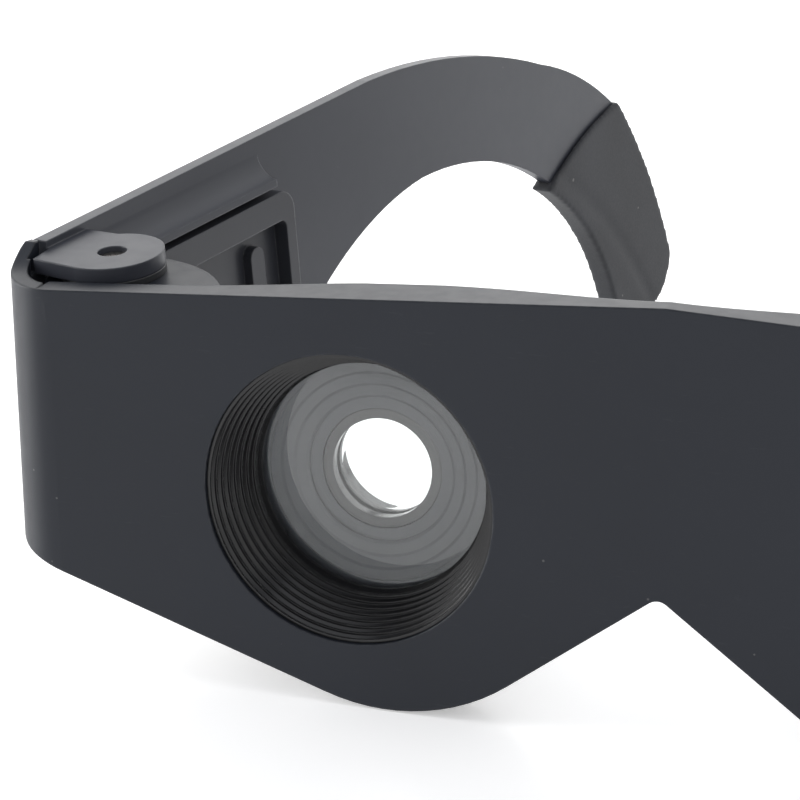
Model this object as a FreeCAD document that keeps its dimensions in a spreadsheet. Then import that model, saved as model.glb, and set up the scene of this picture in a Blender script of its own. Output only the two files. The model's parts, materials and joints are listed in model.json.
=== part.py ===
import FreeCAD, Part
import Sketcher
import math
import os

# Head-worn binocular loupe: a bent front shell with two telescope barrels, hinged temples with rubber
# ear sleeves.  Every part is drawn in the front panel's own frame (X to the right, Y from the panel's
# front face towards the wearer, Z up, origin on the symmetry plane at the height of the optical axes)
# and is then stood on the table: the panel leans back a little and the hooks of the temples touch down.

doc = FreeCAD.newDocument("binocular_loupe")
sheet = doc.addObject("Spreadsheet::Sheet", "Sizes")

SIZES = [
    # the front shell
    ("lens_offset", 37.1), ("panel_wall", 2.0), ("bend_radius", 8.0), ("bend_centre_x", 74.2),
    ("roof_height", 26.3), ("roof_slope", 0.052), ("lobe_vertex_x", 27.8), ("lobe_vertex_z", 28.3),
    ("lobe_radius", 24.5), ("notch_height", 7.3), ("notch_radius", 1.6), ("skirt_slope", 0.329),
    ("corner_radius", 7.0), ("side_reach", 84.0), ("flange_depth", 7.4), ("flange_wall", 1.8),
    ("bridge_depth", 3.0), ("outer_depth", 4.0), ("wrap_tail", 1.0), ("hood_opening", 17.75),
    ("flange_edge", 76.0), ("cover_edge", 61.5), ("cover_corner", 5.0), ("cover_play", 0.15),
    ("wrap_crest", 25.5), ("relief_reach", 80.65), ("relief_floor", 21.9),
    ("boss_radius", 2.7), ("screw_radius", 1.1), ("screw_head_radius", 2.1),
    ("screw_head", 1.2), ("screw_tip", 1.4), ("cross_length", 3.0), ("cross_width", 0.65),
    ("cross_depth", 0.6), ("pad_drop", 9.0), ("pad_wall", 3.4), ("pad_depth", 6.0), ("pad_end", 4.6),
    # stations along the optical axis, counted from the panel's front face
    ("hood_front", 0.5), ("hood_flange_front", 2.0), ("hood_flange_back", 3.2), ("hood_back", 8.7),
    ("retainer_front", 8.7), ("lens_vertex", 8.2), ("lens_edge_front", 9.8), ("lens_back", 11.4),
    ("baffle_front", 11.4), ("baffle_face", 13.4), ("baffle_back", 14.6), ("barrel_wall_front", 15.6),
    ("barrel_back", 16.8), ("neck_back", 21.4), ("cover_front", 4.4), ("cover_back", 5.8),
    ("turret_back", 18.0), ("ring_front", 18.3), ("ring_back", 23.0), ("ring_lip", 21.8),
    ("cell_front", 13.6), ("cell_seat", 15.0), ("cell_flange_front", 16.0), ("cell_back", 17.4),
    ("eye_lens_back", 16.6), ("retainer_step", 9.3), ("recess_front", 18.7), ("cam_station", 19.3),
    ("cell_flange_back", 19.9), ("slot_front", 18.6), ("slot_back", 22.0), ("cam_root", 8.5),
    ("cam_reach", 2.2),
    # radii round the optical axis
    ("mouth_radius", 14.25), ("hood_rim", 17.3), ("hood_throat", 14.6), ("hood_shank", 17.7),
    ("retainer_lip", 14.6), ("turret_collar", 19.7), ("turret_collar_back", 6.8), ("slot_width", 1.2),
    ("hood_flange", 19.2), ("barrel_bore", 14.9), ("barrel_outer", 16.2), ("lens_radius", 14.85),
    ("lens_curve", 62.0), ("baffle_outer", 14.85), ("baffle_lip", 13.6), ("baffle_flat", 8.9),
    ("baffle_hole", 7.4), ("cell_aperture", 6.1), ("cell_pocket", 6.6), ("cell_tube", 7.3),
    ("cell_flange", 8.92), ("neck_bore", 9.0), ("neck_outer", 10.0), ("ring_bore", 10.08),
    ("ring_recess", 11.3), ("ring_outer", 13.4), ("ring_eye_front", 9.6), ("ring_eye_back", 11.6),
    ("turret_bore", 17.7), ("turret_outer", 18.9), ("turret_eye", 10.6), ("eye_lens_radius", 6.58),
    ("eye_curve", 22.0), ("knurl_radius", 0.55), ("knurl_count", 36), ("cam_pin", 0.5),
    ("rib_count", 7), ("rib_depth", 0.3),
    # the temples, in their own frame: along the plate, up, and inward from its outer face
    ("toe_in", 14.0), ("temple_pitch", 6.5), ("plate_wall", 2.0), ("plate_start", 1.4),
    ("pin_along", 6.5), ("pin_inward", 10.4), ("pin_radius", 1.75), ("pin_clearance", 0.07),
    ("ear_radius", 6.4), ("ear_top", 24.2), ("ear_wall", 1.9), ("washer_wall", 0.9),
    ("lug_wall", 2.0), ("lower_ear_top", -3.0), ("ear_half_width", 5.4), ("ear_root", 2.2), ("column_gap", 0.15),
    ("rail_lip", 5.0), ("rail_height", 19.4), ("rail_end", 48.0), ("liner_wall", 3.0), ("rib_start", 41.6),
    ("rib_end", 44.6), ("rib_top", 11.6), ("liner_screw_along", 24.0), ("liner_screw_head", 0.9),
    ("tang_inset", 0.4), ("pin_recess", 0.7),
    ("liner_start", 20.0), ("liner_end", 51.4), ("liner_top", 17.9), ("liner_bottom", -5.0),
    ("liner_corner", 3.0), ("window_start", 28.2), ("window_end", 49.3), ("window_top", 13.9),
    ("window_bottom", -1.5), ("window_corner", 1.2), ("sleeve_wall", 3.8), ("sleeve_skin", 0.9),
    # standing on the table
    ("lean_back", 1.65), ("stand_back", -86.69), ("stand_up", 25.72),
]
for row, (alias, value) in enumerate(SIZES, start=1):
    sheet.set("A%d" % row, alias)
    sheet.set("B%d" % row, "%g" % value)
    sheet.setAlias("B%d" % row, alias)
doc.recompute()


def size(alias):
    return float(sheet.get(alias))


def point(x, y):
    return FreeCAD.Vector(x, y, 0)


SIDES = ((-1, "left"), (1, "right"))
BACKWARD = -1
LINER_SCREW_HEIGHTS = (13.0, 0.0)
COVER_SCREWS = ((9.5, 12.0), (58.0, 14.0), (58.5, -11.5))

# ---------------------------------------------------------------- where things stand

stand = FreeCAD.Placement(
    FreeCAD.Vector(0, size("stand_back"), size("stand_up")),
    FreeCAD.Rotation(FreeCAD.Vector(1, 0, 0), -size("lean_back")))
along_axis = FreeCAD.Rotation(FreeCAD.Vector(1, 0, 0), -90)


def optical(side):
    """Frame of one telescope: local Z runs along its axis from the panel's front face."""
    return stand.multiply(FreeCAD.Placement(FreeCAD.Vector(side * size("lens_offset"), 0, 0), along_axis))


def temple_root(side):
    """Point of a temple's outer face where the front shell's bend ends."""
    toe = math.radians(size("toe_in"))
    radius = size("bend_radius")
    x = size("bend_centre_x") + radius * math.cos(toe)
    y = radius + radius * math.sin(toe)
    return FreeCAD.Vector(side * x, y, 0)


def temple(side):
    """Frame of one temple in the panel's frame: local X along the plate, Z up, Y to the left."""
    turn = FreeCAD.Rotation(FreeCAD.Vector(0, 0, 1), 90 + side * size("toe_in"))
    pitch = FreeCAD.Rotation(FreeCAD.Vector(0, 1, 0), -size("temple_pitch"))
    return FreeCAD.Placement(temple_root(side), turn.multiply(pitch))


def pin_tilt(side):
    """Turn that leans the panel's Z onto a hinge pin, square to the temple's length."""
    toe = math.radians(size("toe_in"))
    level = FreeCAD.Vector(math.cos(toe), side * math.sin(toe), 0)
    return FreeCAD.Rotation(level, size("temple_pitch"))


# ---------------------------------------------------------------- drawing helpers

def plane(body, role):
    for feature in body.Origin.OriginFeatures:
        if feature.Role == role:
            return feature
    raise RuntimeError("no plane " + role)


def new_body(label, placement):
    body = doc.addObject("PartDesign::Body", label)
    body.Label = label
    body.Placement = placement
    return body


def new_sketch(body, name, role, curves, lift=0.0, offset=None):
    """Sketch on one of the body's own planes, lifted along that plane's normal."""
    sketch = body.newObject("Sketcher::SketchObject", body.Label + "_" + name)
    sketch.AttachmentSupport = (plane(body, role), [""])
    sketch.MapMode = "FlatFace"
    sketch.AttachmentOffset = offset or FreeCAD.Placement(FreeCAD.Vector(0, 0, lift), FreeCAD.Rotation())
    for curve in curves:
        sketch.addGeometry(curve, False)
    return sketch


def closed(points):
    """Straight segments round a list of (x, y) points."""
    corners = [point(x, y) for x, y in points]
    return [Part.LineSegment(a, b) for a, b in zip(corners, corners[1:] + corners[:1])]


def circle(x, y, radius):
    return Part.Circle(point(x, y), FreeCAD.Vector(0, 0, 1), radius)


def rounded(vertices, inset=0.0):
    """Segments and tangent arcs round (x, y, radius) vertices, all moved inward by inset."""
    count = len(vertices)
    area = 0.0
    for i in range(count):
        x0, y0 = vertices[i][:2]
        x1, y1 = vertices[(i + 1) % count][:2]
        area += x0 * y1 - x1 * y0
    turn = 1.0 if area > 0 else -1.0
    lines = []
    for i in range(count):
        x0, y0 = vertices[i][:2]
        x1, y1 = vertices[(i + 1) % count][:2]
        length = math.hypot(x1 - x0, y1 - y0)
        ux, uy = (x1 - x0) / length, (y1 - y0) / length
        lines.append((x0 - turn * uy * inset, y0 + turn * ux * inset, ux, uy))
    arcs = []
    for i in range(count):
        ax, ay, aux, auy = lines[i - 1]
        bx, by, bux, buy = lines[i]
        cross = aux * buy - auy * bux
        reach = ((bx - ax) * buy - (by - ay) * bux) / cross
        cx, cy = ax + aux * reach, ay + auy * reach
        radius = vertices[i][2]
        if radius <= 0:
            arcs.append((point(cx, cy), None, point(cx, cy)))
            continue
        radius += inset if cross * turn < 0 else -inset
        half = math.atan2(abs(cross), aux * bux + auy * buy) / 2
        back = radius * math.tan(half)
        start = point(cx - aux * back, cy - auy * back)
        end = point(cx + bux * back, cy + buy * back)
        bulge = radius * (1 / math.cos(half) - 1)
        nx, ny = bux - aux, buy - auy
        norm = math.hypot(nx, ny)
        middle = point(cx + nx / norm * bulge, cy + ny / norm * bulge)
        arcs.append((start, middle, end))
    curves = []
    for i in range(count):
        start, middle, end = arcs[i]
        if middle is not None:
            curves.append(Part.Arc(start, middle, end))
        nearest = arcs[(i + 1) % count][0]
        if end.distanceToPoint(nearest) > 1e-4:
            curves.append(Part.LineSegment(end, nearest))
    return curves


def pad(body, name, sketch, length, reverse=False, both=False):
    """Pad whose length is a number of millimetres or the alias of a cell."""
    feature = body.newObject("PartDesign::Pad", body.Label + "_" + name)
    return set_length(feature, sketch, length, reverse, both)


def pocket(body, name, sketch, length, reverse=False, both=False):
    feature = body.newObject("PartDesign::Pocket", body.Label + "_" + name)
    return set_length(feature, sketch, length, reverse, both)


def pad_slab(body, name, curves, start, end, toward):
    """Pad an XZ sketch from start to end; toward is +1 where that runs along the sketch's normal, -Y."""
    sketch = new_sketch(body, name + "_outline", "XZ_Plane", curves, lift=toward * start)
    return pad(body, name, sketch, end - start, reverse=toward < 0)


def cut_slab(body, name, curves, start, end, toward):
    """Pocket with the same start, end and direction as pad_slab."""
    sketch = new_sketch(body, name + "_outline", "XZ_Plane", curves, lift=toward * start)
    return pocket(body, name, sketch, end - start, reverse=toward > 0)


def set_length(feature, sketch, length, reverse, both):
    feature.Profile = sketch
    feature.Reversed = reverse
    feature.Midplane = both
    if isinstance(length, str):
        feature.setExpression("Length", length)
    else:
        feature.Length = length
    sketch.Visibility = False
    doc.recompute()
    return feature


def cell(alias):
    return "Sizes." + alias


def turned(label, placement, profile):
    """Solid of revolution about local Z from (radius, station) cells, each vertex bound to its cells."""
    body = new_body(label, placement)
    points = [(value_of(radius), value_of(station)) for radius, station in profile]
    sketch = new_sketch(body, "profile", "XZ_Plane", closed(points))
    count = len(profile)
    for i in range(count):
        sketch.addConstraint(Sketcher.Constraint("Coincident", i, 2, (i + 1) % count, 1))
    for i, (radius, station) in enumerate(profile):
        for kind, name in (("DistanceX", radius), ("DistanceY", station)):
            amount = value_of(name)
            if amount == 0:
                sketch.addConstraint(Sketcher.Constraint("PointOnObject", i, 1, -2))
                continue
            index = sketch.addConstraint(Sketcher.Constraint(kind, -1, 1, i, 1, amount))
            if isinstance(name, str):
                sketch.setExpression("Constraints[%d]" % index, cell(name))
    revolve(body, sketch)
    return body


def value_of(name):
    return size(name) if isinstance(name, str) else float(name)


def revolve(body, sketch):
    feature = body.newObject("PartDesign::Revolution", body.Label + "_turn")
    feature.Profile = sketch
    feature.ReferenceAxis = (sketch, ["V_Axis"])
    feature.Angle = 360
    sketch.Visibility = False
    doc.recompute()
    return feature


# ---------------------------------------------------------------- the front shell and rear cover

def front_vertices(half_width, corner):
    """Front view of the shell: a low roof, two lobes under the lenses and the nose notch."""
    slope = size("roof_slope")
    skirt = size("skirt_slope")
    lobe_x = size("lobe_vertex_x")
    lobe_z = -size("lobe_vertex_z")
    roof = size("roof_height")
    eave = roof - slope * half_width
    hem = lobe_z + skirt * (half_width - lobe_x)
    right = [(lobe_x, lobe_z, size("lobe_radius")), (half_width, hem, corner), (half_width, eave, 0.0)]
    left = [(-x, z, radius) for x, z, radius in reversed(right)]
    return right + [(0.0, roof, 0.0)] + left + [(0.0, -size("notch_height"), size("notch_radius"))]


def shell_vertices():
    """Front view of the whole shell, with its bent ends left tall for the crest cut."""
    flange = size("flange_edge")
    eave = size("roof_height") - size("roof_slope") * flange
    crest = size("wrap_crest")
    outline = []
    for x, z, radius in front_vertices(size("side_reach"), size("corner_radius")):
        if radius > 0 or x == 0:
            outline.append((x, z, radius))
            continue
        bend = math.copysign(flange, x)
        ends = [(x, crest, 0.0), (bend, crest, 0.0), (bend, eave, 0.0)]
        outline += ends if x > 0 else ends[::-1]
    return outline


def crest_curves():
    """Side view of what is cut off the bent ends: their rim climbs to the top of the temple plates."""
    eave = size("roof_height") - size("roof_slope") * size("flange_edge")
    crest = size("wrap_crest")
    over = crest + 5.0
    rim = [(-5.0, eave - 0.05), (0.0, eave), (3.0, eave + 0.35), (6.0, eave + 0.95), (8.0, eave + 2.0),
           (9.6, crest - 0.1), (14.0, crest + 0.6)]
    spline = Part.BSplineCurve()
    spline.interpolate([point(y, z) for y, z in rim])
    first, last = rim[0], rim[-1]
    return [spline,
            Part.LineSegment(point(*last), point(last[0], over)),
            Part.LineSegment(point(last[0], over), point(first[0], over)),
            Part.LineSegment(point(first[0], over), point(*first))]


def plan_curves():
    """Plan of the shell's wall: a flat panel whose ends bend back into the line of the temples."""
    wall = size("panel_wall")
    radius = size("bend_radius")
    centre_x = size("bend_centre_x")
    toe = math.radians(size("toe_in"))
    tail = size("wrap_tail")

    def bend(r, angle, side):
        return point(side * (centre_x + r * math.cos(angle)), radius + r * math.sin(angle))

    curves = []
    ends = {}
    middle = (toe - math.pi / 2) / 2
    for side in (-1, 1):
        run = point(-side * math.sin(toe) * tail, math.cos(toe) * tail)
        outer = bend(radius, toe, side)
        inner = bend(radius - wall, toe, side)
        flat_outer = bend(radius, -math.pi / 2, side)
        flat_inner = bend(radius - wall, -math.pi / 2, side)
        curves.append(Part.Arc(flat_outer, bend(radius, middle, side), outer))
        curves.append(Part.LineSegment(outer, outer + run))
        curves.append(Part.LineSegment(outer + run, inner + run))
        curves.append(Part.LineSegment(inner + run, inner))
        curves.append(Part.Arc(inner, bend(radius - wall, middle, side), flat_inner))
        ends[side] = (flat_outer, flat_inner)
    curves.append(Part.LineSegment(ends[-1][0], ends[1][0]))
    curves.append(Part.LineSegment(ends[-1][1], ends[1][1]))
    return curves


def depth_curve():
    """Plan of what is cut from the flange: it is deepest round the barrels and shallow at the bridge."""
    lens = size("lens_offset")
    deep = size("flange_depth")
    bridge = size("bridge_depth")
    outer = size("outer_depth")
    far = 3 * deep
    edge = 76.1
    top = [(-edge, outer), (-64.0, outer), (-53.0, 4.7), (-lens, deep), (-18.0, 6.0), (0.0, bridge),
           (18.0, 6.0), (lens, deep), (53.0, 4.7), (64.0, outer), (edge, outer)]
    spline = Part.BSplineCurve()
    spline.interpolate([point(x, y) for x, y in top])
    return [spline,
            Part.LineSegment(point(edge, outer), point(edge, far)),
            Part.LineSegment(point(edge, far), point(-edge, far)),
            Part.LineSegment(point(-edge, far), point(-edge, outer))]


def screw_places():
    """Cover screws: beside the bridge and outboard of each barrel, in the panel's X and Z."""
    return [(side * x, z) for side, name in SIDES for x, z in COVER_SCREWS]


def front_shell():
    body = new_body("front_shell", stand)
    tall = 70.0
    wall = size("panel_wall")
    front = size("cover_front")
    lens = size("lens_offset")
    flange = size("flange_edge")
    pad(body, "wall", new_sketch(body, "plan", "XY_Plane", plan_curves()), tall, both=True)
    outline = rounded(front_vertices(flange, 0.0))
    inner = rounded(front_vertices(flange, 0.0), size("flange_wall"))
    pad_slab(body, "flange", outline + inner, wall - 0.1, size("flange_depth"), BACKWARD)
    cutter = new_sketch(body, "depth", "XY_Plane", depth_curve())
    pocket(body, "flange_depth", cutter, tall, both=True)
    # the flange runs along the top and the hem only, so its ends are opened
    for side, name in SIDES:
        near, far = side * (flange - 6.0), side * (flange + 0.1)
        end = closed([(near, -8), (far, -8), (far, 20), (near, 20)])
        cut_slab(body, "flange_end_" + name, end, wall, size("flange_depth") + 1, BACKWARD)
    bosses = [circle(x, z, size("boss_radius")) for x, z in screw_places()]
    pad_slab(body, "screw_bosses", bosses, wall - 0.1, front, BACKWARD)
    bores = [circle(x, z, size("screw_radius")) for x, z in screw_places()]
    cut_slab(body, "screw_bores", bores, wall - 0.8, front + 1, BACKWARD)
    for side, name in SIDES:
        hinge_lug(body, side, name)
    frame = closed([(-100, -50), (100, -50), (100, 50), (-100, 50)])
    edge = rounded(shell_vertices())
    cut_slab(body, "outline", frame + edge, -5.0, 30.0, BACKWARD)
    for side, name in SIDES:
        sketch = new_sketch(body, "crest_" + name, "YZ_Plane", crest_curves(), lift=side * flange)
        pocket(body, "crest_cut_" + name, sketch, 20.0, reverse=side > 0)
        # inside its raised rim the wall is thinned, where the temple's front corner swings past
        near, far = side * (flange + 3.0), side * size("relief_reach")
        swing = closed([(near, 7.4), (far, 7.4), (far, 14.0), (near, 14.0)])
        sketch = new_sketch(body, "relief_" + name, "XY_Plane", swing, lift=30.0)
        pocket(body, "relief_cut_" + name, sketch, 30.0 - size("relief_floor"))
    cut_slab(body, "front_face", frame, -5.0, 0.0, BACKWARD)
    mouths = [circle(side * lens, 0, size("hood_opening")) for side, name in SIDES]
    cut_slab(body, "hood_openings", mouths, -1.0, wall + 1, BACKWARD)
    return body


def hinge_lug(body, side, name):
    """Knuckle column on the panel's back, square to the temple, with a lug plate over its top."""
    frame = temple(side)
    pin_x, pin_y = side_point(side, size("pin_along"), size("pin_inward"))
    centre = frame.multVec(FreeCAD.Vector(pin_x, pin_y, 0))
    axis = FreeCAD.Placement(centre, pin_tilt(side))
    top = lug_top()
    bottom = size("lower_ear_top") + size("column_gap")
    wall = size("panel_wall")
    reach = centre.y - wall + 1.5
    radius = size("ear_radius")
    outer = side * 3.2

    def level(height):
        return axis.multiply(FreeCAD.Placement(FreeCAD.Vector(0, 0, height), FreeCAD.Rotation()))

    web = closed([(outer, -reach), (side * -4.6, -reach), (side * -4.6, 0.0), (outer, 0.0)])
    sketch = new_sketch(body, "column_" + name, "XY_Plane", web, offset=level(bottom))
    pad(body, "column_web_" + name, sketch, top - bottom)
    sketch = new_sketch(body, "knuckle_" + name, "XY_Plane", [circle(0, 0, radius - 0.6)], offset=level(bottom))
    pad(body, "knuckle_column_" + name, sketch, top - bottom)
    shoulder = point(side * 7.6, -3.6)
    crown = point(0, radius - 0.1)
    inner = point(-side * 16.5, -6.0)
    plate = [Part.Arc(shoulder, point(side * 6.0, 4.2), crown),
             Part.Arc(crown, point(-side * 9.5, 3.4), inner),
             Part.LineSegment(inner, point(inner.x, -reach)),
             Part.LineSegment(point(inner.x, -reach), point(outer, -reach)),
             Part.LineSegment(point(outer, -reach), shoulder)]
    sketch = new_sketch(body, "lug_" + name, "XY_Plane", plate, offset=level(top - size("lug_wall")))
    pad(body, "lug_plate_" + name, sketch, cell("lug_wall"))
    sketch = new_sketch(body, "pin_bore_" + name, "XY_Plane", [circle(0, 0, size("pin_radius"))],
                        offset=level(top + 1))
    pocket(body, "pin_hole_" + name, sketch, top - bottom + 2)


def lug_top():
    return size("ear_top") - size("ear_wall") - size("washer_wall")


def rear_cover():
    body = new_body("rear_cover", stand)
    lens = size("lens_offset")
    front = size("cover_front")
    back = size("cover_back")
    inset = size("flange_wall") + size("cover_play")
    edge = rounded(front_vertices(size("cover_edge"), size("cover_corner")), inset)
    pad_slab(body, "back_plate", edge, front, back, BACKWARD)

    bores = [circle(side * lens, 0, size("turret_bore")) for side, name in SIDES]
    cut_slab(body, "barrel_openings", bores, front - 1, back + 1, BACKWARD)
    holes = [circle(x, z, size("screw_radius") + 0.15) for x, z in screw_places()]
    cut_slab(body, "screw_clearance", holes, front - 1, back + 1, BACKWARD)
    # the upper corners stand clear of the hinge lugs
    for side, name in SIDES:
        near, far = side * (size("cover_edge") - 9.5), side * (size("cover_edge") + 1.5)
        corner = closed([(near, 18), (far, 18), (far, 27), (near, 27)])
        cut_slab(body, "corner_" + name, corner, front - 1, back + 1, BACKWARD)
    return body


def cover_screws():
    """Six self-tapping screws through the rear cover into the shell's bosses."""
    parts = []
    tip = size("screw_tip")
    length, width, depth = size("cross_length"), size("cross_width"), size("cross_depth")
    for number, (x, z) in enumerate(screw_places(), start=1):
        shank = doc.addObject("Part::Cylinder", "cover_screw_shank_%d" % number)
        shank.setExpression("Radius", cell("screw_radius"))
        shank.Height = size("cover_back") - tip
        shank.Placement = FreeCAD.Placement(FreeCAD.Vector(x, tip, z), along_axis)
        head = doc.addObject("Part::Cylinder", "cover_screw_head_%d" % number)
        head.setExpression("Radius", cell("screw_head_radius"))
        head.setExpression("Height", cell("screw_head"))
        head.Placement = FreeCAD.Placement(FreeCAD.Vector(x, size("cover_back"), z), along_axis)
        floor = size("cover_back") + size("screw_head") - depth
        slot = doc.addObject("Part::Box", "cover_screw_slot_%d" % number)
        slot.Length, slot.Width, slot.Height = length, width, depth
        slot.Placement = FreeCAD.Placement(FreeCAD.Vector(x - length / 2, floor, z + width / 2), along_axis)
        cross = doc.addObject("Part::Box", "cover_screw_cross_%d" % number)
        cross.Length, cross.Width, cross.Height = width, length, depth
        cross.Placement = FreeCAD.Placement(FreeCAD.Vector(x - width / 2, floor, z + length / 2), along_axis)
        whole = doc.addObject("Part::Fuse", "cover_screw_body_%d" % number)
        whole.Base = shank
        whole.Tool = head
        recess = doc.addObject("Part::Fuse", "cover_screw_recess_%d" % number)
        recess.Base = slot
        recess.Tool = cross
        screw = doc.addObject("Part::Cut", "cover_screw_%d" % number)
        screw.Base = whole
        screw.Tool = recess
        parts.append(screw)
    group = doc.addObject("Part::Compound", "cover_screws")
    group.Label = "cover_screws"
    group.Links = parts
    group.Placement = stand
    return group


def nose_pad():
    """Soft saddle that lines the nose notch from behind."""
    body = new_body("nose_pad", stand)
    slope = (size("lobe_vertex_z") - size("notch_height")) / size("lobe_vertex_x")
    low = size("notch_height") - 1.2
    drop = size("pad_drop")
    foot = -low - slope * drop
    end = foot + size("pad_end")
    saddle = [(0.0, -low, 3.0), (drop, foot, 0.8), (drop, end, 0.8),
              (0.0, size("pad_wall") - low, 4.0), (-drop, end, 0.8), (-drop, foot, 0.8)]
    back = size("cover_back")
    pad_slab(body, "saddle", rounded(saddle), back, back + size("pad_depth"), BACKWARD)
    return body


# ---------------------------------------------------------------- one telescope

def lens_hood(side, name):
    """Conical hood: the bore steps down over sharp anti-glare ribs from the rim to the throat."""
    body = new_body("lens_hood_" + name, optical(side))
    ribs = int(size("rib_count"))
    front = size("hood_front")
    back = size("hood_back")
    pitch = (back - front - 0.9) / ribs
    fall = (size("hood_rim") - size("hood_throat")) / ribs
    depth = size("rib_depth")
    inner = [(size("hood_rim"), front)]
    for i in range(ribs):
        radius = size("hood_rim") - fall * i
        start = front + pitch * i
        inner += [(radius, start + 0.35 * pitch), (radius + depth, start + 0.5 * pitch),
                  (radius + depth - fall, start + pitch)]
        inner += [(radius - fall, start + pitch)]
    inner += [(size("hood_throat"), back)]
    outer = [(size("barrel_outer"), back), (size("barrel_outer"), back - 1.0),
             (size("hood_shank") - 0.25, size("hood_flange_back") + 0.6),
             (size("hood_shank") - 0.25, size("hood_flange_back")),
             (size("hood_flange"), size("hood_flange_back")), (size("hood_flange"), size("hood_flange_front")),
             (size("hood_shank"), size("hood_flange_front")), (size("hood_shank"), front)]
    revolve(body, new_sketch(body, "profile", "XZ_Plane", closed(inner + outer)))
    return body


def telescope(side, name):
    parts = [lens_hood(side, name)]
    place = optical(side)
    barrel = turned("objective_barrel_" + name, place, [
        ("barrel_bore", "retainer_front"), ("barrel_outer", "retainer_front"),
        ("barrel_outer", "barrel_back"), ("neck_outer", "barrel_back"), ("neck_outer", "neck_back"),
        ("neck_bore", "neck_back"), ("neck_bore", "barrel_wall_front"),
        ("barrel_bore", "barrel_wall_front")])
    half = size("slot_width") / 2
    front, back = size("slot_front"), size("slot_back")
    slots = closed([(-half, front), (half, front), (half, back), (-half, back)])
    pocket(barrel, "cam_slots", new_sketch(barrel, "slots", "XZ_Plane", slots), 30.0, both=True)
    parts.append(barrel)
    parts.append(turned("objective_retainer_" + name, place, [
        ("mouth_radius", "retainer_step"), ("mouth_radius", "lens_edge_front"),
        ("lens_radius", "lens_edge_front"), ("lens_radius", "retainer_front"),
        ("retainer_lip", "retainer_front")]))
    parts.append(objective_lens(name, place))
    parts.append(baffle(name, place))
    parts.append(eyepiece_cell(name, place))
    parts.append(eyepiece_lens(name, place))
    parts.append(turned("eyepiece_retainer_" + name, place, [
        ("cell_aperture", "eye_lens_back"), ("eye_lens_radius", "eye_lens_back"),
        ("eye_lens_radius", "cell_back"), ("cell_aperture", "cell_back")]))
    parts.append(turned("barrel_turret_" + name, place, [
        ("turret_bore", "cover_back"), ("turret_collar", "cover_back"),
        ("turret_collar", "turret_collar_back"), ("turret_outer", "turret_collar_back"),
        ("turret_outer", "turret_back"), ("turret_eye", "turret_back"),
        ("turret_eye", "barrel_back"), ("turret_bore", "barrel_back")]))
    parts.append(focus_ring(name, place))
    return parts


def objective_lens(name, place):
    """Plano-convex lens: a disc cut from a ball, its flat face towards the eye."""
    disc = doc.addObject("Part::Cylinder", "objective_disc_" + name)
    disc.setExpression("Radius", cell("lens_radius"))
    disc.Height = size("lens_back") - size("lens_vertex") + 1
    disc.Placement = FreeCAD.Placement(FreeCAD.Vector(0, 0, size("lens_vertex") - 1), FreeCAD.Rotation())
    ball = doc.addObject("Part::Sphere", "objective_ball_" + name)
    ball.setExpression("Radius", cell("lens_curve"))
    ball.Placement = FreeCAD.Placement(FreeCAD.Vector(0, 0, size("lens_vertex") + size("lens_curve")),
                                       FreeCAD.Rotation())
    lens = doc.addObject("Part::Common", "objective_lens_" + name)
    lens.Label = "objective_lens_" + name
    lens.Base = disc
    lens.Tool = ball
    lens.Placement = place
    return lens


def baffle(name, place):
    """Stepped light baffle behind the objective, open at its middle for the eyepiece cell."""
    body = new_body("baffle_" + name, place)
    front = size("baffle_front") + 0.4
    lip = size("baffle_lip")
    flat = size("baffle_flat")
    face = size("baffle_face")
    back = size("baffle_back")
    steps = 3
    width = (lip - flat) / steps
    rise = (face - front) / (steps + 1)
    profile = [(size("baffle_outer"), size("baffle_front")), (lip, size("baffle_front")), (lip, front)]
    for i in range(steps):
        radius = lip - width * (i + 1)
        level = front + rise * (i + 1)
        profile += [(radius + 0.35, level - 0.55 * rise), (radius, level)]
    profile += [(flat, face), (size("baffle_hole"), face), (size("baffle_hole"), back),
                (size("baffle_outer"), back)]
    revolve(body, new_sketch(body, "profile", "XZ_Plane", closed(profile)))
    return body


def eyepiece_cell(name, place):
    """Sliding cell of the eyepiece with two cam pins that stand out through the neck's slots."""
    body = turned("eyepiece_cell_" + name, place, [
        ("cell_aperture", "cell_front"), ("cell_tube", "cell_front"), ("cell_tube", "cell_flange_front"),
        ("cell_flange", "cell_flange_front"), ("cell_flange", "cell_flange_back"),
        ("cell_tube", "cell_flange_back"),
        ("cell_tube", "cell_back"), ("cell_pocket", "cell_back"), ("cell_pocket", "cell_seat"),
        ("cell_aperture", "cell_seat")])
    for sign, label in ((1, "lower"), (-1, "upper")):
        rod = [circle(0, size("cam_station"), size("cam_pin"))]
        sketch = new_sketch(body, label + "_cam_pin", "XZ_Plane", rod, lift=sign * size("cam_root"))
        pad(body, label + "_pin", sketch, cell("cam_reach"), reverse=sign < 0)
    return body


def eyepiece_lens(name, place):
    """Negative lens of the eyepiece: a disc with a hollow ground into its eye side."""
    disc = doc.addObject("Part::Cylinder", "eyepiece_disc_" + name)
    disc.setExpression("Radius", cell("eye_lens_radius"))
    disc.Height = size("eye_lens_back") - size("cell_seat")
    disc.Placement = FreeCAD.Placement(FreeCAD.Vector(0, 0, size("cell_seat")), FreeCAD.Rotation())
    ball = doc.addObject("Part::Sphere", "eyepiece_ball_" + name)
    ball.setExpression("Radius", cell("eye_curve"))
    depth = 0.75
    ball.Placement = FreeCAD.Placement(
        FreeCAD.Vector(0, 0, size("eye_lens_back") - depth + size("eye_curve")), FreeCAD.Rotation())
    lens = doc.addObject("Part::Cut", "eyepiece_lens_" + name)
    lens.Label = "eyepiece_lens_" + name
    lens.Base = disc
    lens.Tool = ball
    lens.Placement = place
    return lens


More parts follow.
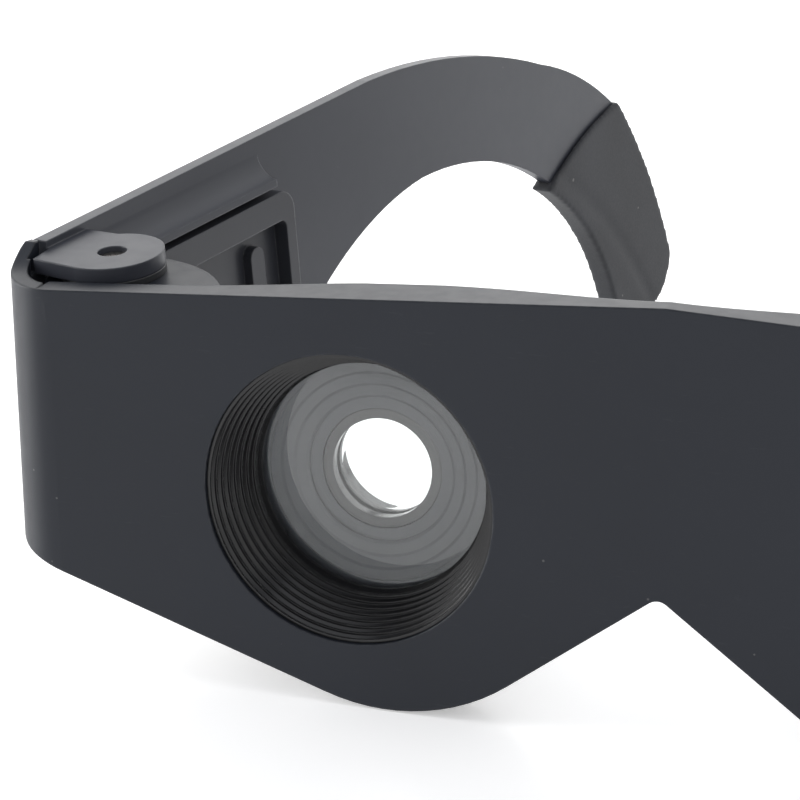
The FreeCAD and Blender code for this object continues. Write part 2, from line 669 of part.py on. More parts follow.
def focus_ring(name, place):
    """Turning ring behind the turret: knurled outside, with a cam recess and a flared eye opening."""
    body = turned("focus_ring_" + name, place, [
        ("ring_bore", "ring_front"), ("ring_outer", "ring_front"), ("ring_outer", "ring_back"),
        ("ring_eye_back", "ring_back"), ("ring_eye_front", "ring_lip"),
        ("ring_recess", "ring_lip"), ("ring_recess", "recess_front"), ("ring_bore", "recess_front")])
    groove = new_sketch(body, "knurl", "XY_Plane",
                        [circle(size("ring_outer") + 0.25, 0, size("knurl_radius"))],
                        lift=size("ring_front") + 0.7)
    cut = pocket(body, "knurl_groove", groove, size("ring_back") - size("ring_front"), reverse=True)
    pattern = body.newObject("PartDesign::PolarPattern", body.Label + "_knurling")
    pattern.Originals = [cut]
    pattern.Axis = (groove, ["N_Axis"])
    pattern.Angle = 360
    pattern.Occurrences = int(size("knurl_count"))
    body.Tip = pattern
    doc.recompute()
    return body


# ---------------------------------------------------------------- the temples

def side_point(side, along, inward):
    """Local X and Y of a temple for a place along it and inward from its outer face."""
    return along, side * inward


def plate_outline():
    """Side view of a temple plate, from its deep front end over the arch to the seam of the sleeve."""
    lean = math.tan(math.radians(size("temple_pitch")))
    low, high = -7.0, 25.1
    front_low = point(size("plate_start") + lean * low, low)
    front_high = point(size("plate_start") + lean * high, high)
    heel = point(46.0, -12.5)
    arch_front = point(60.0, -1.3)
    arch_top = point(88.5, 7.4)
    seam_low = point(126.4, -5.3)
    seam_high = point(148.6, 2.2)
    shoulder = point(76.0, 25.8)
    back = point(125.0, 15.3)
    return [
        Part.LineSegment(front_low, front_high),
        Part.LineSegment(front_high, shoulder),
        Part.Arc(shoulder, point(101.5, 22.7), back),
        Part.Arc(back, point(138.0, 9.5), seam_high),
        Part.LineSegment(seam_high, seam_low),
        Part.Arc(seam_low, point(108.5, 3.9), arch_top),
        Part.Arc(arch_top, point(73.0, 4.7), arch_front),
        Part.LineSegment(arch_front, heel),
        Part.LineSegment(heel, front_low)]


def tang_outline():
    """Tongue of the plate that the sleeve is pushed over."""
    return rounded([(135.5, -1.0, 1.0), (145.0, 2.2, 1.0), (155.6, -12.0, 6.0), (161.5, -28.0, 4.0),
                    (154.5, -31.5, 3.0), (146.0, -22.0, 8.0)])


def sleeve_outline():
    """Side view of the ear sleeve: a broad hook that turns down and ends in a round tip."""
    heel = point(124.6, -6.0)
    crest = point(149.2, 2.4)
    nape = point(167.0, -30.6)
    tip = point(155.2, -38.74)
    toe = point(145.2, -31.6)
    return [
        Part.Arc(heel, point(135.3, -0.9), crest),
        Part.Arc(crest, point(159.6, -13.4), nape),
        Part.Arc(nape, point(164.2, -36.2), tip),
        Part.Arc(tip, point(148.8, -36.7), toe),
        Part.Arc(toe, point(137.7, -17.9), heel)]


def temple_arm(side, name):
    body = new_body("temple_arm_" + name, stand.multiply(temple(side)))
    wall = size("plate_wall")
    pad_slab(body, "plate", plate_outline(), 0.0, wall, -side)
    pad_slab(body, "tang", tang_outline(), size("tang_inset"), wall - size("tang_inset"), -side)
    for level, label in ((size("ear_top"), "upper"), (size("lower_ear_top"), "lower")):
        ear(body, side, level - size("ear_wall"), label)
    rail(body, side)
    return body


def ear(body, side, level, label):
    """Horizontal hinge ear: a strip square to the plate that ends in a disc round the pin."""
    along = size("pin_along")
    half = size("ear_half_width")
    inward = size("pin_inward")
    root = along - size("ear_root")
    front = along - size("ear_radius")
    strip = [(root, 1.0), (root, 2.3), (front + 0.5, 2.9), (front, inward), (along + half, inward),
             (along + half, 1.0)]
    points = [side_point(side, a, b) for a, b in strip]
    sketch = new_sketch(body, label + "_ear", "XY_Plane", closed(points), lift=level)
    pad(body, label + "_ear_strip", sketch, cell("ear_wall"))
    centre = side_point(side, along, inward)
    sketch = new_sketch(body, label + "_eye", "XY_Plane", [circle(centre[0], centre[1], size("ear_radius"))],
                        lift=level)
    pad(body, label + "_ear_disc", sketch, cell("ear_wall"))
    bore = size("pin_radius") + size("pin_clearance")
    sketch = new_sketch(body, label + "_bore", "XY_Plane", [circle(centre[0], centre[1], bore)],
                        lift=level + size("ear_wall") + 1)
    pocket(body, label + "_pin_bore", sketch, size("ear_wall") + 2)


def rail(body, side):
    """Stiffening rail on the plate's inner face, hollowed above its lip."""
    wall = size("plate_wall")
    lip = size("rail_lip")
    height = size("rail_height")
    start = size("pin_along") + size("ear_half_width") - 1.0
    # YZ sketches look along -X: sketch x is body Y, sketch y is body Z
    corners = [(wall - 0.5, height + 4.6), (wall, height + 4.6)]
    root = [point(side * a, b) for a, b in corners]
    hollow = Part.Arc(root[1], point(side * (wall + 0.75), height + 1.9), point(side * lip, height + 0.5))
    rest = [point(side * lip, height + 0.5), point(side * lip, height - 0.5),
            point(side * (wall - 0.5), height - 0.5), root[0]]
    curves = [Part.LineSegment(root[0], root[1]), hollow]
    curves += [Part.LineSegment(a, b) for a, b in zip(rest, rest[1:])]
    sketch = new_sketch(body, "rail", "YZ_Plane", curves, lift=start)
    pad(body, "rail", sketch, size("rail_end") - start)


def temple_liner(side, name):
    """Moulded frame screwed to the plate's inner face, with a windowed recess and a stiffening rib."""
    body = new_body("temple_liner_" + name, stand.multiply(temple(side)))
    wall = size("plate_wall")
    face = wall + size("liner_wall")
    start, end = size("liner_start"), size("liner_end")
    low, high = size("liner_bottom"), size("liner_top")
    corner = size("liner_corner")
    pad_slab(body, "frame", rounded([
        (start, low, corner), (end, low, corner), (end, high, corner), (start, high, corner)]),
        wall, face, -side)
    inner = size("window_corner")
    floor = wall + 0.8
    sill = size("window_bottom")
    cut_slab(body, "window", rounded([
        (size("window_start"), sill, inner), (size("window_end"), sill, inner),
        (size("window_end"), size("window_top"), inner), (size("window_start"), size("window_top"), inner)]),
        floor, face + 1, -side)
    near, far, top = size("rib_start"), size("rib_end"), size("rib_top")
    bend = (far - near) / 2 - 0.05
    rib = [(near, sill - 1, 0.0), (far, sill - 1, 0.0), (far, top, bend), (near, top, bend)]
    pad_slab(body, "rib", rounded(rib), floor - 0.4, face - 0.8, -side)
    along = size("liner_screw_along")
    holes = [circle(along, z, size("screw_radius")) for z in LINER_SCREW_HEIGHTS]
    cut_slab(body, "screw_holes", holes, wall - 1, face + 1, -side)
    return body


def temple_screws(side, name):
    """Two screws that hold the liner to the plate."""
    parts = []
    face = size("plate_wall") + size("liner_wall")
    along = size("liner_screw_along")
    turn = FreeCAD.Rotation(FreeCAD.Vector(1, 0, 0), -90 * side)
    for number, height in enumerate(LINER_SCREW_HEIGHTS, start=1):
        shank = doc.addObject("Part::Cylinder", "temple_screw_shank_%s_%d" % (name, number))
        shank.setExpression("Radius", cell("screw_radius"))
        shank.setExpression("Height", cell("liner_wall"))
        shank.Placement = FreeCAD.Placement(
            FreeCAD.Vector(along, side * size("plate_wall"), height), turn)
        head = doc.addObject("Part::Cylinder", "temple_screw_head_%s_%d" % (name, number))
        head.setExpression("Radius", cell("screw_head_radius"))
        head.setExpression("Height", cell("liner_screw_head"))
        head.Placement = FreeCAD.Placement(FreeCAD.Vector(along, side * face, height), turn)
        screw = doc.addObject("Part::Fuse", "temple_screw_%s_%d" % (name, number))
        screw.Base = shank
        screw.Tool = head
        parts.append(screw)
    group = doc.addObject("Part::Compound", "temple_screws_" + name)
    group.Label = "temple_screws_" + name
    group.Links = parts
    group.Placement = stand.multiply(temple(side))
    return group


def ear_sleeve(side, name):
    """Rubber sleeve over the hook, thicker than the plate, hollow where the tang goes in."""
    body = new_body("ear_sleeve_" + name, stand.multiply(temple(side)))
    wall = size("plate_wall")
    skin = size("sleeve_skin")
    pad_slab(body, "hook", sleeve_outline(), -skin, wall + skin, -side)
    cut_slab(body, "tang_slot", tang_outline(), size("tang_inset"), wall - size("tang_inset"), -side)
    # the plate's end sits in a shallow socket at the seam
    cut_slab(body, "socket", plate_outline(), 0.0, wall, -side)
    return body


def hinge_parts(side, name):
    frame = stand.multiply(temple(side))
    along, inward = side_point(side, size("pin_along"), size("pin_inward"))
    top = size("ear_top") - size("pin_recess")
    bottom = size("lower_ear_top") - size("ear_wall") + 0.3
    pin = doc.addObject("Part::Cylinder", "hinge_pin_" + name)
    pin.Label = "hinge_pin_" + name
    pin.setExpression("Radius", cell("pin_radius"))
    pin.Height = top - bottom
    pin.Placement = frame.multiply(FreeCAD.Placement(FreeCAD.Vector(along, inward, bottom),
                                                     FreeCAD.Rotation()))
    disc = doc.addObject("Part::Cylinder", "washer_disc_" + name)
    disc.setExpression("Radius", cell("ear_radius"))
    disc.setExpression("Height", cell("washer_wall"))
    hole = doc.addObject("Part::Cylinder", "washer_hole_" + name)
    hole.Radius = size("pin_radius") + 0.05
    hole.Height = 4
    hole.Placement = FreeCAD.Placement(FreeCAD.Vector(0, 0, -1), FreeCAD.Rotation())
    washer = doc.addObject("Part::Cut", "hinge_washer_" + name)
    washer.Label = "hinge_washer_" + name
    washer.Base = disc
    washer.Tool = hole
    washer.Placement = frame.multiply(FreeCAD.Placement(FreeCAD.Vector(along, inward, lug_top()),
                                                        FreeCAD.Rotation()))
    return [pin, washer]


# ---------------------------------------------------------------- assembly and output

subparts = [front_shell(), rear_cover(), cover_screws(), nose_pad()]
for side, name in SIDES:
    subparts += telescope(side, name)
    subparts += [temple_arm(side, name), temple_liner(side, name), temple_screws(side, name)]
    subparts += [ear_sleeve(side, name)]
    subparts += hinge_parts(side, name)
doc.recompute()

for item in doc.Objects:
    if "Invalid" in item.State or "Error" in item.State:
        raise RuntimeError("feature failed: " + item.Label)
whole = FreeCAD.BoundBox()
for item in subparts:
    if item.Shape.isNull() or not item.Shape.isValid():
        raise RuntimeError("bad shape: " + item.Label)
    whole.add(item.Shape.optimalBoundingBox(False))
print("box", whole)

os.makedirs("parts", exist_ok=True)
for item in subparts:
    item.Shape.exportStep("parts/" + item.Label + ".step")
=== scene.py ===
"""Looks of the head-worn binocular loupe: materials, worked pieces, floor, light and camera."""

import json
import math

import bmesh
import bpy
from mathutils import Matrix, Vector


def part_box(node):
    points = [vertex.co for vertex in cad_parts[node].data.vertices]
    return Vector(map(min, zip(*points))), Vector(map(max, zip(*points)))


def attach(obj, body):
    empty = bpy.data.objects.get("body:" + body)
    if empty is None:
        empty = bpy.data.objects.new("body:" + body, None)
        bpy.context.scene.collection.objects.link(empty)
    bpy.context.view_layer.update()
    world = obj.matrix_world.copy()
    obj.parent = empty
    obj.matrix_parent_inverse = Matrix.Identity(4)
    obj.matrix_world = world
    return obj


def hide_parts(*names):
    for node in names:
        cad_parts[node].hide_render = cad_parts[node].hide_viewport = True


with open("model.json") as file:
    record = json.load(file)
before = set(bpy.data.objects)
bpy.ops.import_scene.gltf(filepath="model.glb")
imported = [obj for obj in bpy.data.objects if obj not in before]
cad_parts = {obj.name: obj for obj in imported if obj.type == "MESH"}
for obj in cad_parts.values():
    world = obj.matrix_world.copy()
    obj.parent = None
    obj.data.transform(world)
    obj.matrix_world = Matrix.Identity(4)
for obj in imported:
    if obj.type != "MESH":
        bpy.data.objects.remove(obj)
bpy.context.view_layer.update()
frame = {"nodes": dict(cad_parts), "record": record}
nodes = frame["nodes"]
scene = bpy.context.scene
SIDES = ("left", "right")
MM = 0.001


# ---------------------------------------------------------------- materials


class Tree:
    """A small helper that adds and joins the nodes of one material."""

    def __init__(self, name):
        self.material = bpy.data.materials.new(name)
        self.material.use_nodes = True
        self.nodes = self.material.node_tree.nodes
        self.links = self.material.node_tree.links
        self.shader = self.nodes["Principled BSDF"]
        self.place = self.nodes.new("ShaderNodeTexCoord").outputs["Object"]

    def join(self, source, target):
        self.links.new(source, target)

    def noise(self, scale, detail=4.0, stretch=None, roughness=0.55):
        """Noise over the piece; scale is in grains per metre."""
        node = self.nodes.new("ShaderNodeTexNoise")
        node.inputs["Scale"].default_value = scale
        node.inputs["Detail"].default_value = detail
        node.inputs["Roughness"].default_value = roughness
        source = self.place
        if stretch:
            turn = self.nodes.new("ShaderNodeMapping")
            turn.inputs["Rotation"].default_value = stretch[0]
            turn.inputs["Scale"].default_value = stretch[1]
            self.join(source, turn.inputs["Vector"])
            source = turn.outputs["Vector"]
        self.join(source, node.inputs["Vector"])
        return node.outputs["Fac"]

    def ramp(self, source, low, high, start=0.0, end=1.0):
        """Maps source from low..high to start..end, and holds it there outside."""
        node = self.nodes.new("ShaderNodeMapRange")
        node.inputs["From Min"].default_value = low
        node.inputs["From Max"].default_value = high
        node.inputs["To Min"].default_value = start
        node.inputs["To Max"].default_value = end
        self.join(source, node.inputs["Value"])
        return node.outputs["Result"]

    def math(self, operation, first, second):
        node = self.nodes.new("ShaderNodeMath")
        node.operation = operation
        for socket, value in zip(node.inputs, (first, second)):
            if isinstance(value, (int, float)):
                socket.default_value = value
            else:
                self.join(value, socket)
        return node.outputs["Value"]

    def mix(self, factor, first, second):
        """Mixes two colours, each a tuple or a socket."""
        node = self.nodes.new("ShaderNodeMix")
        node.data_type = "RGBA"
        self.join(factor, node.inputs["Factor"])
        for socket, value in ((node.inputs["A"], first), (node.inputs["B"], second)):
            colour = [s for s in node.inputs if s.name == socket.name and s.type == "RGBA"][0]
            if isinstance(value, tuple):
                colour.default_value = (*value, 1.0)
            else:
                self.join(value, colour)
        return [s for s in node.outputs if s.type == "RGBA"][0]

    def speck(self, scale, size, share):
        """Small round dust specks: cells of a Voronoi pattern, of which only a share shows one."""
        cell = self.nodes.new("ShaderNodeTexVoronoi")
        cell.inputs["Scale"].default_value = scale
        self.join(self.place, cell.inputs["Vector"])
        split = self.nodes.new("ShaderNodeSeparateColor")
        self.join(cell.outputs["Color"], split.inputs["Color"])
        chosen = self.math("LESS_THAN", split.outputs["Red"], share)
        reach = self.math("MULTIPLY", split.outputs["Green"], size)
        near = self.math("LESS_THAN", cell.outputs["Distance"], reach)
        return self.math("MULTIPLY", chosen, near)

    def edge(self, radius):
        """Rounds the shading of edges, and gives how far the rounding turns the surface there."""
        bevel = self.nodes.new("ShaderNodeBevel")
        bevel.samples = 6
        bevel.inputs["Radius"].default_value = radius
        geometry = self.nodes.new("ShaderNodeNewGeometry")
        dot = self.nodes.new("ShaderNodeVectorMath")
        dot.operation = "DOT_PRODUCT"
        self.join(bevel.outputs["Normal"], dot.inputs[0])
        self.join(geometry.outputs["Normal"], dot.inputs[1])
        return bevel.outputs["Normal"], self.ramp(dot.outputs["Value"], 0.99, 0.80)

    def bump(self, height, depth, normal=None):
        """Bump of the given depth in metres."""
        node = self.nodes.new("ShaderNodeBump")
        node.inputs["Strength"].default_value = 1.0
        node.inputs["Distance"].default_value = depth
        self.join(height, node.inputs["Height"])
        if normal is not None:
            self.join(normal, node.inputs["Normal"])
        return node.outputs["Normal"]


def plastic(name, colour, worn, rough, gloss=0.4, grain=5000.0, depth=4e-6, radius=0.0003, dust=0.012):
    """Moulded plastic: uneven tone, fine grain, faint drag scratches, rubbed edges, dust."""
    tree = Tree(name)
    cloud = tree.ramp(tree.noise(30.0, 2.0), 0.30, 0.72)
    drift = tree.ramp(tree.noise(420.0, 6.0), 0.40, 0.66)
    lines = tree.noise(260.0, 3.0, ((0.4, 0.9, 0.3), (1.0, 14.0, 9.0)), 0.7)
    scratch = tree.ramp(lines, 0.665, 0.70)
    normal, edge = tree.edge(radius)
    rubbed = tree.math("MULTIPLY", edge, tree.ramp(tree.noise(700.0, 5.0), 0.38, 0.62))
    tone = tree.mix(cloud, tuple(0.92 * c for c in colour), tuple(1.08 * c for c in colour))
    tone = tree.mix(tree.math("MULTIPLY", scratch, 0.10), tone, worn)
    tone = tree.mix(tree.math("MULTIPLY", rubbed, 0.55), tone, worn)
    tone = tree.mix(tree.math("MULTIPLY", tree.speck(900.0, 0.16, dust), 0.22), tone, (0.30, 0.29, 0.28))
    tree.join(tone, tree.shader.inputs["Base Color"])
    shine = tree.ramp(drift, 0.0, 1.0, rough - 0.015, rough + 0.02)
    shine = tree.math("SUBTRACT", shine, tree.math("MULTIPLY", rubbed, 0.10))
    shine = tree.math("ADD", shine, tree.math("MULTIPLY", scratch, 0.05))
    tree.join(shine, tree.shader.inputs["Roughness"])
    skin = tree.math("SUBTRACT", tree.noise(grain, 3.0), tree.math("MULTIPLY", scratch, 0.3))
    tree.join(tree.bump(skin, depth, normal), tree.shader.inputs["Normal"])
    tree.shader.inputs["Specular IOR Level"].default_value = gloss
    return tree.material


def rubber(name, colour, worn, grain=2600.0):
    """Soft matt rubber with a bloom, a fine pebble and lighter, handled edges."""
    tree = Tree(name)
    bloom = tree.ramp(tree.noise(60.0, 6.0), 0.35, 0.70)
    pebble = tree.noise(grain, 4.0, None, 0.6)
    normal, edge = tree.edge(0.0006)
    tone = tree.mix(bloom, tuple(0.82 * c for c in colour), tuple(1.22 * c for c in colour))
    tone = tree.mix(tree.math("MULTIPLY", edge, 0.45), tone, worn)
    tone = tree.mix(tree.math("MULTIPLY", tree.speck(700.0, 0.22, 0.05), 0.4), tone, (0.26, 0.25, 0.24))
    tree.join(tone, tree.shader.inputs["Base Color"])
    tree.join(tree.ramp(pebble, 0.3, 0.7, 0.60, 0.74), tree.shader.inputs["Roughness"])
    skin = tree.math("ADD", pebble, tree.math("MULTIPLY", bloom, 0.8))
    tree.join(tree.bump(skin, 1.2e-5, normal), tree.shader.inputs["Normal"])
    tree.shader.inputs["Specular IOR Level"].default_value = 0.32
    tree.shader.inputs["Sheen Weight"].default_value = 0.12
    tree.shader.inputs["Sheen Roughness"].default_value = 0.5
    return tree.material


def steel(name, colour, rough, turned):
    """Turned or plated steel: fine lathe lines, uneven oxide, bright edges."""
    tree = Tree(name)
    cloud = tree.ramp(tree.noise(900.0, 6.0), 0.35, 0.65)
    lines = tree.noise(1500.0, 3.0, ((0.0, 0.0, 0.0), (1.0, 1.0, 12.0)), 0.6)
    normal, edge = tree.edge(0.00012)
    tone = tree.mix(cloud, tuple(0.7 * c for c in colour), colour)
    tone = tree.mix(tree.math("MULTIPLY", edge, 0.6), tone, tuple(min(1.0, 1.5 * c) for c in colour))
    tree.join(tone, tree.shader.inputs["Base Color"])
    tree.join(tree.ramp(lines, 0.3, 0.7, rough - 0.06, rough + 0.10), tree.shader.inputs["Roughness"])
    tree.join(tree.bump(lines, turned, normal), tree.shader.inputs["Normal"])
    tree.shader.inputs["Metallic"].default_value = 1.0
    return tree.material


def glass(name, tint):
    """Coated optical glass with a very faint haze and a few dust specks."""
    tree = Tree(name)
    haze = tree.ramp(tree.noise(160.0, 5.0), 0.45, 0.75, 0.0, 0.008)
    spots = tree.math("MULTIPLY", tree.speck(1500.0, 0.18, 0.02), 0.2)
    tree.join(tree.math("ADD", haze, spots), tree.shader.inputs["Roughness"])
    tree.shader.inputs["Base Color"].default_value = (*tint, 1.0)
    tree.shader.inputs["Transmission Weight"].default_value = 1.0
    tree.shader.inputs["IOR"].default_value = 1.56
    return tree.material


FINISH = {
    "shell_plastic": plastic(
        "shell_plastic", (0.0125, 0.0150, 0.0212), (0.060, 0.064, 0.072), 0.38, 0.28, radius=0.00045),
    "hood_plastic": plastic(
        "hood_plastic", (0.006, 0.006, 0.007), (0.05, 0.05, 0.052), 0.24, 0.5, 3000.0, 2e-6, 0.0001),
    "barrel_plastic": plastic("barrel_plastic", (0.012, 0.012, 0.013), (0.05, 0.05, 0.05), 0.45, 0.35),
    # The baffle's own dark plastic tone is raised lighter and bluer here: painted reflection, standing
    # in for the bright room mirrored in the objective lens in front of it.
    "baffle_plastic": plastic(
        "baffle_plastic", (0.085, 0.090, 0.104), (0.20, 0.20, 0.20), 0.30, 0.5, 3000.0, 2e-6, 0.00012),
    "lens_glass": glass("lens_glass", (0.97, 0.985, 0.98)),
    "cover_plastic": plastic(
        "cover_plastic", (0.016, 0.017, 0.020), (0.060, 0.062, 0.068), 0.46, 0.4, 3200.0, 1.4e-5),
    "ring_plastic": plastic(
        "ring_plastic", (0.013, 0.014, 0.016), (0.055, 0.057, 0.062), 0.34, 0.45, 5000.0, 4e-6, 0.0002),
    "cell_plastic": plastic(
        "cell_plastic", (0.070, 0.070, 0.072), (0.25, 0.25, 0.25), 0.16, 0.5, 3000.0, 1e-6, 0.0002),
    "screw_steel": steel("screw_steel", (0.16, 0.16, 0.17), 0.34, 4e-6),
    "pin_steel": steel("pin_steel", (0.36, 0.34, 0.32), 0.30, 4e-6),
    "washer_nylon": plastic("washer_nylon", (0.020, 0.021, 0.023), (0.07, 0.07, 0.075), 0.36, 0.45),
    "temple_plastic": plastic(
        "temple_plastic", (0.032, 0.0345, 0.0440), (0.085, 0.090, 0.100), 0.38, 0.42),
    "liner_plastic": plastic("liner_plastic", (0.030, 0.0315, 0.038), (0.080, 0.083, 0.092), 0.35, 0.42),
    "sleeve_rubber": rubber("sleeve_rubber", (0.022, 0.0235, 0.0275), (0.060, 0.063, 0.070)),
    "nose_rubber": rubber("nose_rubber", (0.016, 0.016, 0.018), (0.05, 0.05, 0.052)),
}


def paint(obj, slot):
    """Gives a piece the finish of its record slot."""
    obj.data.materials.clear()
    obj.data.materials.append(FINISH[slot])
    return obj


def finish_of(node):
    """The record slot of a CAD node."""
    for part in frame["record"]["subparts"]:
        if part["node"] == node:
            return part["material_slot"]
    raise KeyError(node)


for label, obj in nodes.items():
    material = FINISH[finish_of(label)]
    if not obj.material_slots:
        obj.data.materials.append(material)
    for place in obj.material_slots:
        place.material = material

# ---------------------------------------------------------------- soft pieces


def body_of(node):
    """The moving body that a CAD node belongs to."""
    for body, members in frame["record"]["behaviour"]["bodies"].items():
        if node in members:
            return body
    raise KeyError(node)


def baked(obj, name):
    """The mesh that an object has with its modifiers, as a new mesh."""
    graph = bpy.context.evaluated_depsgraph_get()
    mesh = bpy.data.meshes.new_from_object(obj.evaluated_get(graph))
    mesh.name = name
    return mesh


def softened(node, grid, rounds):
    """A rounded copy of a CAD node in a fine even mesh, as soft rubber leaves its mould."""
    obj = bpy.data.objects.new(node + "_moulded", nodes[node].data.copy())
    scene.collection.objects.link(obj)
    remesh = obj.modifiers.new("even", "REMESH")
    remesh.mode = "VOXEL"
    remesh.voxel_size = grid
    smooth = obj.modifiers.new("round", "SMOOTH")
    smooth.factor = 0.5
    smooth.iterations = rounds
    bpy.context.view_layer.update()
    mesh = baked(obj, obj.name)
    obj.modifiers.clear()
    obj.data = mesh
    mesh.materials.clear()
    for face in mesh.polygons:
        face.use_smooth = True
    return obj


def stand_for(obj, node):
    """Lets a worked piece take the place of a CAD node."""
    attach(obj, body_of(node))
    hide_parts(node)
    return paint(obj, finish_of(node))


def ear_sleeve(side):
    """The rubber sleeve: rounded all over, with a shallow crease along each broad face."""
    obj = softened("ear_sleeve_" + side, 0.32 * MM, 16)
    low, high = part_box("ear_sleeve_" + side)
    start = Vector((0.0, low[1], high[2] - 6.0 * MM))
    end = Vector((0.0, high[1] - 8.0 * MM, low[2] + 2.0 * MM))
    along = (end - start).normalized()
    across = Vector((0.0, -along.z, along.y))
    rise, width, depth = 2.4 * MM, 1.5 * MM, 0.20 * MM
    for vertex in obj.data.vertices:
        offset = Vector((0.0, vertex.co.y, vertex.co.z)) - start
        share = min(1.0, max(0.0, offset.dot(along) / (end - start).length))
        away = (offset.dot(across) - rise * math.sin(math.pi * share)) / width
        if abs(vertex.normal.x) > 0.7:
            vertex.co -= depth * math.exp(-away * away) * vertex.normal
    return stand_for(obj, "ear_sleeve_" + side)


# ---------------------------------------------------------------- lenses


def lathe(name, start, axis, profile, turns=144):
    """A solid turned from (radius, distance along the axis) points, from pole to pole."""
    first = Vector((1.0, 0.0, 0.0))
    second = axis.cross(first)
    form = bmesh.new()
    rings = []
    for radius, level in profile:
        centre = start + axis * level
        if radius == 0.0:
            rings.append([form.verts.new(centre)])
            continue
        angles = [2 * math.pi * i / turns for i in range(turns)]
        rings.append([
            form.verts.new(centre + (first * math.cos(angle) + second * math.sin(angle)) * radius)
            for angle in angles])
    for one, two in zip(rings, rings[1:]):
        for i in range(turns):
            j = (i + 1) % turns
            corners = [one[i % len(one)], one[j % len(one)], two[j % len(two)], two[i % len(two)]]
            form.faces.new([corner for k, corner in enumerate(corners) if corner not in corners[:k]])
    bmesh.ops.recalc_face_normals(form, faces=form.faces)
    for edge in form.edges:
        edge.smooth = edge.calc_face_angle(0.0) < math.radians(25.0)
    for face in form.faces:
        face.smooth = True
    mesh = bpy.data.meshes.new(name)
    form.to_mesh(mesh)
    form.free()
    obj = bpy.data.objects.new(name, mesh)
    scene.collection.objects.link(obj)
    return obj


def telescope_axis(side):
    """A point on the telescope's axis, and its direction towards the eye."""
    for joint in frame["record"]["behaviour"]["joints"]:
        if joint["name"] == "focus_turn_" + side:
            return Vector(joint["pos_m"]), Vector(joint["axis"]).normalized()
    raise KeyError(side)


def lens_edges(node, start, axis):
    """Where a CAD lens begins and ends along the axis, and its radius."""
    offsets = [vertex.co - start for vertex in nodes[node].data.vertices]
    reach = [offset.dot(axis) for offset in offsets]
    radius = max((offset - axis * level).length for offset, level in zip(offsets, reach))
    return min(reach), max(reach), radius


def sag(curve, radius):
    """How far a ball of the given curve falls away at a radius."""
    return curve - math.sqrt(curve * curve - radius * radius)


def stations(radius, steps=40):
    """Radii from the axis out to the edge."""
    return [radius * i / steps for i in range(steps + 1)]


def objective_lens(side):
    """The front lens: a gently domed front, set back inside its retainer, and a flat back."""
    node = "objective_lens_" + side
    start, axis = telescope_axis(side)
    first, last, radius = lens_edges(node, start, axis)
    radii = stations(radius - 0.02 * MM)
    front = [(r, first + 0.50 * MM + sag(90.0 * MM, r)) for r in radii]
    back = [(r, last - 0.01 * MM) for r in radii]
    return stand_for(lathe(node + "_polished", start, axis, front + back[::-1]), node)


def eyepiece_lens(side):
    """The eye lens: a flat front, and a hollow ground into the side towards the eye."""
    node = "eyepiece_lens_" + side
    start, axis = telescope_axis(side)
    first, last, radius = lens_edges(node, start, axis)
    radii = stations(radius - 0.02 * MM)
    rim = last - 0.01 * MM
    front = [(r, first + 0.01 * MM) for r in radii]
    back = [(r, min(rim, last - 0.75 * MM + sag(22.0 * MM, r))) for r in radii]
    return stand_for(lathe(node + "_polished", start, axis, front + back[::-1]), node)


for side in SIDES:
    ear_sleeve(side)
    objective_lens(side)
    eyepiece_lens(side)
stand_for(softened("nose_pad", 0.30 * MM, 8), "nose_pad")

# ---------------------------------------------------------------- stage, light, camera


def floor():
    """A broad pale floor, bright enough to run into the white wall."""
    mesh = bpy.data.meshes.new("floor")
    form = bmesh.new()
    bmesh.ops.create_grid(form, x_segments=2, y_segments=2, size=6.0)
    form.to_mesh(mesh)
    form.free()
    obj = bpy.data.objects.new("floor", mesh)
    scene.collection.objects.link(obj)
    tree = Tree("floor_paper")
    tone = tree.mix(tree.ramp(tree.noise(3.0), 0.3, 0.7), (0.86, 0.855, 0.85), (0.90, 0.895, 0.89))
    tree.join(tone, tree.shader.inputs["Base Color"])
    tree.shader.inputs["Roughness"].default_value = 0.30
    tree.shader.inputs["Specular IOR Level"].default_value = 0.5
    tree.shader.inputs["Emission Color"].default_value = (1.0, 1.0, 1.0, 1.0)
    tree.shader.inputs["Emission Strength"].default_value = 0.38
    mesh.materials.append(tree.material)


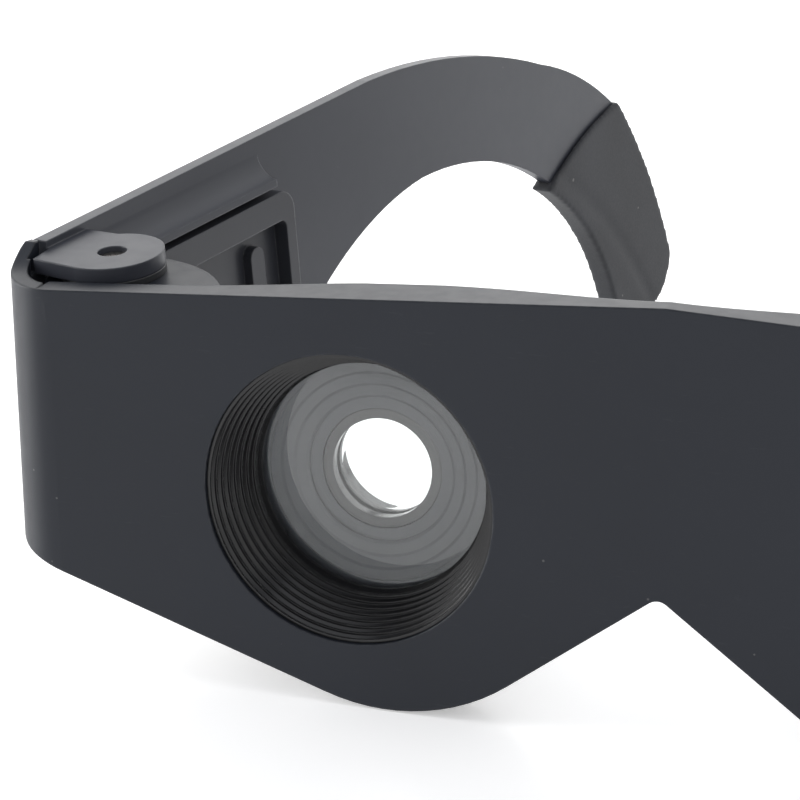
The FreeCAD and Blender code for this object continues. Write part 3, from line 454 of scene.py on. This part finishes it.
def softbox(name, place, aim, size, power, colour=(1.0, 1.0, 1.0)):
    """A soft rectangular light at place that faces aim."""
    data = bpy.data.lights.new(name, "AREA")
    data.shape = "RECTANGLE"
    data.size, data.size_y = size
    data.energy = power
    data.color = colour
    obj = bpy.data.objects.new(name, data)
    scene.collection.objects.link(obj)
    obj.location = place
    obj.rotation_euler = (Vector(aim) - Vector(place)).to_track_quat("-Z", "Y").to_euler()


def lighting():
    """A white room with a darker ceiling, and soft lights overhead, behind and at the left side."""
    world = bpy.data.worlds.new("studio")
    world.use_nodes = True
    tree = world.node_tree
    place = tree.nodes.new("ShaderNodeTexCoord")
    split = tree.nodes.new("ShaderNodeSeparateXYZ")
    tree.links.new(place.outputs["Generated"], split.inputs["Vector"])
    ramp = tree.nodes.new("ShaderNodeValToRGB")
    # white up to 33 degrees above the horizon, and darker from there to 58 degrees
    ramp.color_ramp.elements[0].position = 0.55
    ramp.color_ramp.elements[0].color = (1.0, 1.0, 1.0, 1.0)
    ramp.color_ramp.elements[1].position = 0.85
    ramp.color_ramp.elements[1].color = (0.20, 0.22, 0.27, 1.0)
    tree.links.new(split.outputs["Z"], ramp.inputs["Fac"])
    tree.links.new(ramp.outputs["Color"], tree.nodes["Background"].inputs["Color"])
    tree.nodes["Background"].inputs["Strength"].default_value = 1.0
    scene.world = world
    scene.view_settings.view_transform = "Standard"
    softbox("overhead", (0.0, 0.15, 0.9), (0.0, 0.0, 0.0), (1.2, 1.2), 4.0)
    softbox("behind", (-0.1, 1.3, 0.55), (0.0, 0.0, 0.05), (2.4, 1.0), 7.0)
    softbox("side", (-1.5, -0.25, 0.30), (-0.05, -0.06, 0.03), (0.9, 1.0), 16.0)


def camera():
    """A long lens close to the front's left lobe, from a little above and to the right."""
    data = bpy.data.cameras.new("camera")
    data.sensor_width = 36.0
    data.lens = 110.19
    data.clip_start = 0.01
    data.dof.use_dof = False
    obj = bpy.data.objects.new("camera", data)
    scene.collection.objects.link(obj)
    turn = Matrix.Rotation(math.radians(19.261), 4, "Z")
    tilt = Matrix.Rotation(math.radians(90.0 - 19.057), 4, "X")
    roll = Matrix.Rotation(math.radians(-0.970), 4, "Z")
    obj.matrix_world = Matrix.Translation((0.05618, -0.33402, 0.12944)) @ turn @ tilt @ roll
    scene.camera = obj


floor()
lighting()
camera()
